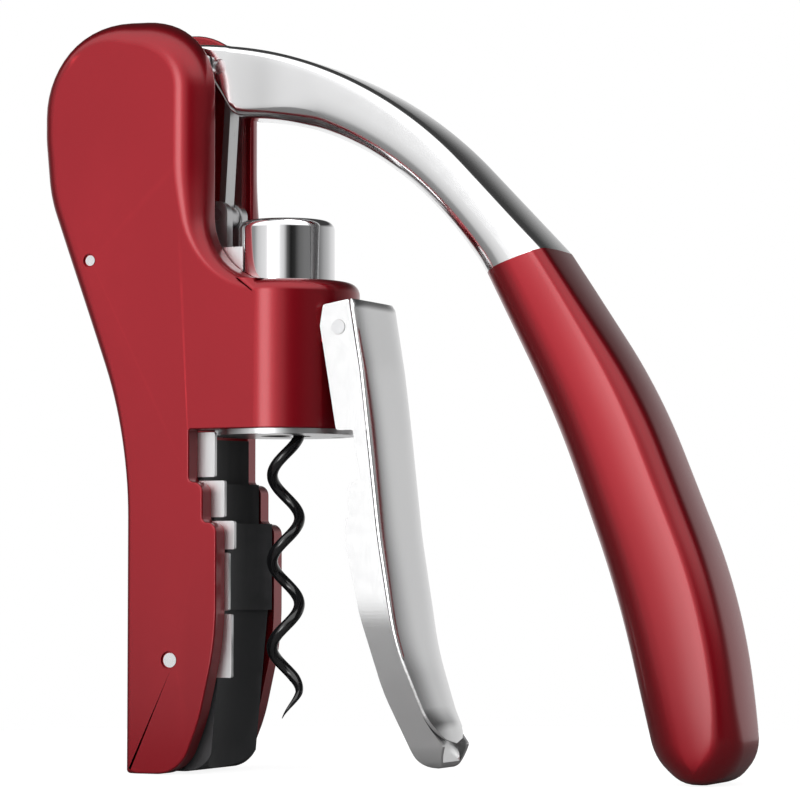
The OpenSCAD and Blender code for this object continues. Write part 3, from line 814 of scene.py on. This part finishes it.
def build_clamp_cover():
    """A shallow arched shell that draws in to a rounded tongue."""
    fine = resample(refine(rounded(SEAM_CORNERS, 20, closed=False), 0.8, closed=False), COVER_STATIONS + 1)
    picks = list(range(0, COVER_STATIONS - TONGUE_STATIONS, 10))
    picks += [COVER_STATIONS - round(TONGUE_STATIONS * math.cos(math.pi / 28 * k)) for k in range(1, 15)]
    length = sum((Vector(b) - Vector(a)).length for a, b in zip(fine, fine[1:]))
    line = [fine[k] for k in picks]
    rings = []
    for k, (x, z) in enumerate(line):
        ahead = Vector(line[min(k + 1, len(line) - 1)]) - Vector(line[max(k - 1, 0)])
        normal = Vector((-ahead.y, ahead.x)).normalized()
        end = (COVER_STATIONS - picks[k]) / COVER_STATIONS * length
        top = picks[k] / COVER_STATIONS * length
        w = mix(CLAMP_HALF_W - 4.2, CLAMP_HALF_W, smooth_step(-6, 36, z))
        if end < TONGUE:
            w *= max(1 - (1 - end / TONGUE) ** TONGUE_POWER, 0.0) ** (1 / TONGUE_POWER) * 0.97 + 0.03
        if top < 1.2:
            w *= 0.96 + 0.04 * top / 1.2
        rise = min(1, end / 3.5, 0.35 + top / 1.5)
        crown = mix(0.6, 1.3, smooth_step(0, 30, top)) * mix(0.55, 1, smooth_step(0, 30, end)) * rise
        fullness = mix(2.6, 6, smooth_step(5, 80, z))
        ring = cover_ring(w, COVER_EDGE * rise + 0.05, crown, fullness)
        rings.append([(x + normal.x * n, y, z + normal.y * n) for y, n in ring])
    verts, faces = skin(rings)
    cover = mesh_object("clamp_cover_shell", verts, faces)
    soften(cover, 45)
    dress(cover, "clamp_alloy")
    fit(cover, "clamp", "clamp_cover")


build_clamp_cover()


# ---------------------------------------------------------------- barrel
BARREL_WALL = 1.8
BARREL_ROOF = 2.2
BARREL_ROUND = 1.9                      # rounding of its upper rim
BARREL_CHAMFER = 0.3                    # and of its lower one


def build_barrel():
    """The polished cap, hollow, with a soft upper rim."""
    inner = BARREL_R - BARREL_WALL
    roof = BARREL_TOP - BARREL_ROOF
    profile = [(0, roof), (inner, roof), (inner, BARREL_BOTTOM)]
    profile += [(BARREL_R - BARREL_CHAMFER, BARREL_BOTTOM), (BARREL_R, BARREL_BOTTOM + BARREL_CHAMFER)]
    profile += round_corner((BARREL_R, BARREL_BOTTOM), (BARREL_R, BARREL_TOP), (0, BARREL_TOP),
                            BARREL_ROUND, 12)
    profile += [(0, BARREL_TOP)]
    barrel = lathe("barrel_cap", profile, 160)
    soften(barrel, 40)
    dress(barrel, "barrel_chrome")
    fit(barrel, "carriage", "barrel")


build_barrel()

# ---------------------------------------------------------------- worm, by geometry nodes
WORM_TIP, WORM_TOP = span("worm", Z)
WORM_SETTINGS = {
    "Bottom": WORM_TIP * MM, "Top": WORM_TOP * MM, "Coil radius": 2.85 * MM, "Wire radius": 1.17 * MM,
    "Pitch": 18 * MM, "Turn at bottom": math.radians(204.3 + 360 * (WORM_TIP - 62.1) / 18),
    "Helix end": 79 * MM, "Shank start": 84 * MM, "Shank radius": 2 * MM}
WORM_RINGS = 420
WIRE_SIDES = 20


def worm_tree():
    """A line set along the worm's helix and swept with a tapering round wire."""
    tree = bpy.data.node_groups.new("worm_sweep", "GeometryNodeTree")
    tree.interface.new_socket("Geometry", in_out="OUTPUT", socket_type="NodeSocketGeometry")
    for name in WORM_SETTINGS:
        tree.interface.new_socket(name, in_out="INPUT", socket_type="NodeSocketFloat")
    tree.interface.new_socket("Rings", in_out="INPUT", socket_type="NodeSocketInt")
    tree.interface.new_socket("Coating", in_out="INPUT", socket_type="NodeSocketMaterial")
    source = add_node(tree, "NodeGroupInput")
    sink = add_node(tree, "NodeGroupOutput")
    value = source.outputs

    def calc(operation, first, second=0.0):
        return math_node(tree, operation, first, second)

    def ramp(low, high, at):
        share = calc("DIVIDE", calc("SUBTRACT", at, low), calc("SUBTRACT", high, low))
        return calc("MINIMUM", calc("MAXIMUM", share, 0.0), 1.0)

    start = add_node(tree, "ShaderNodeCombineXYZ")
    end = add_node(tree, "ShaderNodeCombineXYZ")
    tree.links.new(value["Bottom"], start.inputs["Z"])
    tree.links.new(value["Top"], end.inputs["Z"])
    line = add_node(tree, "GeometryNodeCurvePrimitiveLine")
    tree.links.new(start.outputs[0], line.inputs["Start"])
    tree.links.new(end.outputs[0], line.inputs["End"])
    dense = add_node(tree, "GeometryNodeResampleCurve")
    tree.links.new(line.outputs["Curve"], dense.inputs["Curve"])
    tree.links.new(value["Rings"], dense.inputs["Count"])
    place = add_node(tree, "GeometryNodeInputPosition")
    split = add_node(tree, "ShaderNodeSeparateXYZ")
    tree.links.new(place.outputs[0], split.inputs[0])
    z = split.outputs["Z"]
    climb = calc("SUBTRACT", z, value["Bottom"])
    turned = calc("MULTIPLY", calc("DIVIDE", climb, value["Pitch"]), 2 * math.pi)
    angle = calc("ADD", turned, value["Turn at bottom"])
    to_shank = ramp(value["Helix end"], value["Shank start"], z)
    opening = calc("MINIMUM", calc("ADD", calc("DIVIDE", climb, 12 * MM), 0.55), 1.0)
    still_coil = calc("SUBTRACT", 1.0, to_shank)
    radius = calc("MULTIPLY", calc("MULTIPLY", value["Coil radius"], opening), still_coil)
    spot = add_node(tree, "ShaderNodeCombineXYZ")
    tree.links.new(calc("MULTIPLY", radius, calc("COSINE", angle)), spot.inputs["X"])
    tree.links.new(calc("MULTIPLY", radius, calc("SINE", angle)), spot.inputs["Y"])
    tree.links.new(z, spot.inputs["Z"])
    bend = add_node(tree, "GeometryNodeSetPosition")
    tree.links.new(dense.outputs["Curve"], bend.inputs["Geometry"])
    tree.links.new(spot.outputs[0], bend.inputs["Position"])
    taper = calc("MINIMUM", calc("ADD", calc("DIVIDE", climb, 9 * MM), 0.06), 1.0)
    wire = calc("ADD", calc("MULTIPLY", value["Wire radius"], still_coil),
                calc("MULTIPLY", value["Shank radius"], to_shank))
    thick = add_node(tree, "GeometryNodeStoreNamedAttribute", data_type="FLOAT", domain="POINT")
    thick.inputs["Name"].default_value = "wire"
    tree.links.new(bend.outputs["Geometry"], thick.inputs["Geometry"])
    tree.links.new(calc("MULTIPLY", wire, taper), thick.inputs["Value"])
    read = add_node(tree, "GeometryNodeInputNamedAttribute", data_type="FLOAT")
    read.inputs["Name"].default_value = "wire"
    ring = add_node(tree, "GeometryNodeCurvePrimitiveCircle", mode="RADIUS")
    ring.inputs["Resolution"].default_value = WIRE_SIDES
    ring.inputs["Radius"].default_value = 1.0
    sweep = add_node(tree, "GeometryNodeCurveToMesh")
    sweep.inputs["Fill Caps"].default_value = True
    tree.links.new(thick.outputs["Geometry"], sweep.inputs["Curve"])
    tree.links.new(ring.outputs["Curve"], sweep.inputs["Profile Curve"])
    tree.links.new(read.outputs["Attribute"], sweep.inputs["Scale"])
    whole = add_node(tree, "GeometryNodeRealizeInstances")
    coat = add_node(tree, "GeometryNodeSetMaterial")
    tree.links.new(sweep.outputs["Mesh"], whole.inputs[0])
    tree.links.new(whole.outputs[0], coat.inputs["Geometry"])
    tree.links.new(value["Coating"], coat.inputs["Material"])
    tree.links.new(coat.outputs["Geometry"], sink.inputs["Geometry"])
    return tree


def build_worm():
    """The coated worm, from its tip to the shank in the chuck."""
    mesh = bpy.data.meshes.new("worm_sweep")
    worm = bpy.data.objects.new("worm_wire", mesh)
    bpy.context.scene.collection.objects.link(worm)
    sweep = worm.modifiers.new("worm_sweep", "NODES")
    sweep.node_group = worm_tree()
    settings = dict(WORM_SETTINGS, Rings=WORM_RINGS, Coating=MATERIALS["worm_coating"])
    for item in sweep.node_group.interface.items_tree:
        if item.in_out == "INPUT":
            sweep[item.identifier] = settings[item.name]
    settle(worm)
    turn_outwards(worm.data)
    soften(worm, 50)
    fit(worm, "worm_spindle", "worm")


build_worm()


# ---------------------------------------------------------------- carried-over CAD nodes
# front edge, bottom and top of each strip
WEAR_STRIPS = [(-10.9, 61.7, 71), (-8.6, 53.3, 60.9), (-6.3, 46.6, 52.5), (-7.6, 33.9, 45.9),
               (-6.9, 20, 33.2)]
STRIP_REAR = -22
STRIP_OUTER, STRIP_INNER = -FOOT_GAP + 0.05, -FOOT_GAP + 1.15
STRIP_EDGE = 0.18                       # rounding of the face's edges


def build_wear_strips():
    """Steel strips let in beside the guide, one for each step of the cut-out, with open joints."""
    strips = []
    for front, low, high in WEAR_STRIPS:
        outline = rounded([(STRIP_REAR, low, 0.3), (STRIP_REAR, high, 0.3), (front, high, 0.35),
                           (front, low, 0.35)], 5)
        centre = Vector(((front + STRIP_REAR) / 2, (low + high) / 2))
        half = Vector(((front - STRIP_REAR) / 2, (high - low) / 2))
        rings = []
        for y, drawn in ((STRIP_OUTER, 0), (STRIP_INNER - STRIP_EDGE, 0),
                         (STRIP_INNER - STRIP_EDGE / 3, STRIP_EDGE / 3), (STRIP_INNER, STRIP_EDGE)):
            rings.append([(centre.x + (x - centre.x) * (half.x - drawn) / half.x, y,
                           centre.y + (z - centre.y) * (half.y - drawn) / half.y) for x, z in outline])
        verts, faces = skin(rings)
        strips.append(mesh_object("strip", verts, faces))
    plate = combine(strips[0], strips[1:], "UNION")
    plate = combine(plate, [cross_rod("cut", LOWER_PIN, 1.5 + SKIM, -THROUGH, THROUGH)], "DIFFERENCE")
    plate.name = "guide_wear_strips"
    soften(plate, 30)
    dress(plate, "satin_steel")
    fit(plate, "body", "side_wear_plate")


build_wear_strips()


def dress_cad_nodes():
    """Gives every node of the frame its slot's finish."""
    slots = {row["node"]: row["material_slot"] for row in frame["record"]["subparts"]}
    for name, obj in nodes.items():
        dress(obj, slots[name])


dress_cad_nodes()


# ---------------------------------------------------------------- studio
# brightness round the horizon, from straight behind, past the left, front and right: (degrees, strength)
SURROUND = [(-180, 0.85), (-130, 0.95), (-112, 0.45), (-80, 0.22), (-56, 0.30), (-46, 0.62), (-34, 0.78),
            (-24, 0.86), (-18, 1.2), (-14, 5.6), (-3, 5.6), (3, 1.8), (12, 0.9), (20, 0.7), (28, 0.12),
            (36, 0.012), (46, 0.03), (57, 0.14), (70, 0.19), (113, 0.22), (127, 0.40), (144, 0.55),
            (160, 0.75), (180, 0.85)]
FRONT_TOP = 1.7                         # brightness of the soft box over the front
DARK_TOP = 0.05                         # and of the dark cloth over the back
TENT_TURN = 15                          # the way the tent faces, from the near side towards the lever
CEILING_START, CEILING_FULL = 12, 26    # angles of height between which the walls give way to it


def brightness_ramp(tree, source, stops, low, high):
    """A grey ramp over an input that runs from low to high."""
    span_in = add_node(tree, "ShaderNodeMapRange")
    span_in.inputs["From Min"].default_value = low
    span_in.inputs["From Max"].default_value = high
    tree.links.new(source, span_in.inputs["Value"])
    ramp = add_node(tree, "ShaderNodeValToRGB")
    tree.links.new(span_in.outputs["Result"], ramp.inputs["Fac"])
    strongest = max(value for _, value in stops)
    line = ramp.color_ramp.elements
    while len(line) < len(stops):
        line.new(0.5)
    for element, (at, value) in zip(line, stops):
        element.position = (at - low) / (high - low)
        element.color = (value / strongest, value / strongest, value / strongest, 1)
    return math_node(tree, "MULTIPLY", ramp.outputs["Color"], strongest)


def build_light_tent():
    """Soft boxes all round: a tall one in front, a broad one overhead, and dark flags between them."""
    world = bpy.data.worlds.new("light_tent")
    bpy.context.scene.world = world
    world.use_nodes = True
    tree = world.node_tree
    tent = tree.nodes["Background"]
    place = add_node(tree, "ShaderNodeTexCoord")
    split = add_node(tree, "ShaderNodeSeparateXYZ")
    tree.links.new(place.outputs["Generated"], split.inputs[0])
    forward = math_node(tree, "MULTIPLY", split.outputs["Y"], -1.0)
    round_angle = math_node(tree, "ARCTAN2", split.outputs["X"], forward)
    height_angle = math_node(tree, "ARCSINE", split.outputs["Z"], 0.0)
    level = brightness_ramp(tree, math_node(tree, "DEGREES", round_angle, 0.0), SURROUND, -180, 180)
    turn = math.radians(TENT_TURN)
    towards_front = math_node(tree, "ADD", math_node(tree, "MULTIPLY", split.outputs["X"], math.sin(turn)),
                              math_node(tree, "MULTIPLY", split.outputs["Y"], -math.cos(turn)))
    ceiling = brightness_ramp(tree, towards_front, [(-1, DARK_TOP), (0.02, DARK_TOP), (0.22, FRONT_TOP),
                                                    (0.75, FRONT_TOP), (1, 1.0)], -1, 1)
    height = brightness_ramp(tree, math_node(tree, "DEGREES", height_angle, 0.0),
                             [(-90, 0), (CEILING_START, 0), (CEILING_FULL, 1.0), (90, 1.0)], -90, 90)
    low = math_node(tree, "MULTIPLY", level, math_node(tree, "SUBTRACT", 1.0, height))
    total = math_node(tree, "ADD", low, math_node(tree, "MULTIPLY", ceiling, height))
    tree.links.new(total, tent.inputs["Strength"])
    tent.inputs["Color"].default_value = (1, 1, 1, 1)
    white = add_node(tree, "ShaderNodeBackground")
    path = add_node(tree, "ShaderNodeLightPath")
    choose = add_node(tree, "ShaderNodeMixShader")
    tree.links.new(path.outputs["Is Camera Ray"], choose.inputs[0])
    tree.links.new(tent.outputs[0], choose.inputs[1])
    tree.links.new(white.outputs[0], choose.inputs[2])
    white.inputs["Color"].default_value = (1, 1, 1, 1)
    tree.links.new(choose.outputs[0], tree.nodes["World Output"].inputs["Surface"])


FLOOR_CENTRE, FLOOR_R, FLOOR_SIDES = (26, 0), 230, 96
FLOOR_DROP = 0.2                        # just under the foot
FLOOR_GREY, FLOOR_GLOW = 0.27, 0.90


def build_floor():
    """A pale floor, lit up from inside so that it meets the white backdrop with no line."""
    rim = [on_circle(FLOOR_CENTRE, FLOOR_R, 360 * k / FLOOR_SIDES) for k in range(FLOOR_SIDES)]
    floor = mesh_object("studio_floor", [(x, y, 0) for x, y in rim], [tuple(range(FLOOR_SIDES))])
    material = bpy.data.materials.new("pale_floor")
    material.use_nodes = True
    tree = material.node_tree
    surface = tree.nodes["Principled BSDF"]
    surface.inputs["Base Color"].default_value = (FLOOR_GREY, FLOOR_GREY, FLOOR_GREY, 1)
    surface.inputs["Roughness"].default_value = 0.8
    glow = add_node(tree, "ShaderNodeEmission")
    glow.inputs["Strength"].default_value = FLOOR_GLOW
    glowing = add_node(tree, "ShaderNodeAddShader")
    tree.links.new(surface.outputs[0], glowing.inputs[0])
    tree.links.new(glow.outputs[0], glowing.inputs[1])
    path = add_node(tree, "ShaderNodeLightPath")
    choose = add_node(tree, "ShaderNodeMixShader")
    tree.links.new(path.outputs["Is Camera Ray"], choose.inputs[0])
    tree.links.new(surface.outputs[0], choose.inputs[1])
    tree.links.new(glowing.outputs[0], choose.inputs[2])
    tree.links.new(choose.outputs[0], tree.nodes["Material Output"].inputs["Surface"])
    floor.data.materials.append(material)
    floor.location = (0, 0, -FLOOR_DROP * MM)


build_light_tent()
build_floor()
bpy.context.scene.view_settings.view_transform = "Standard"
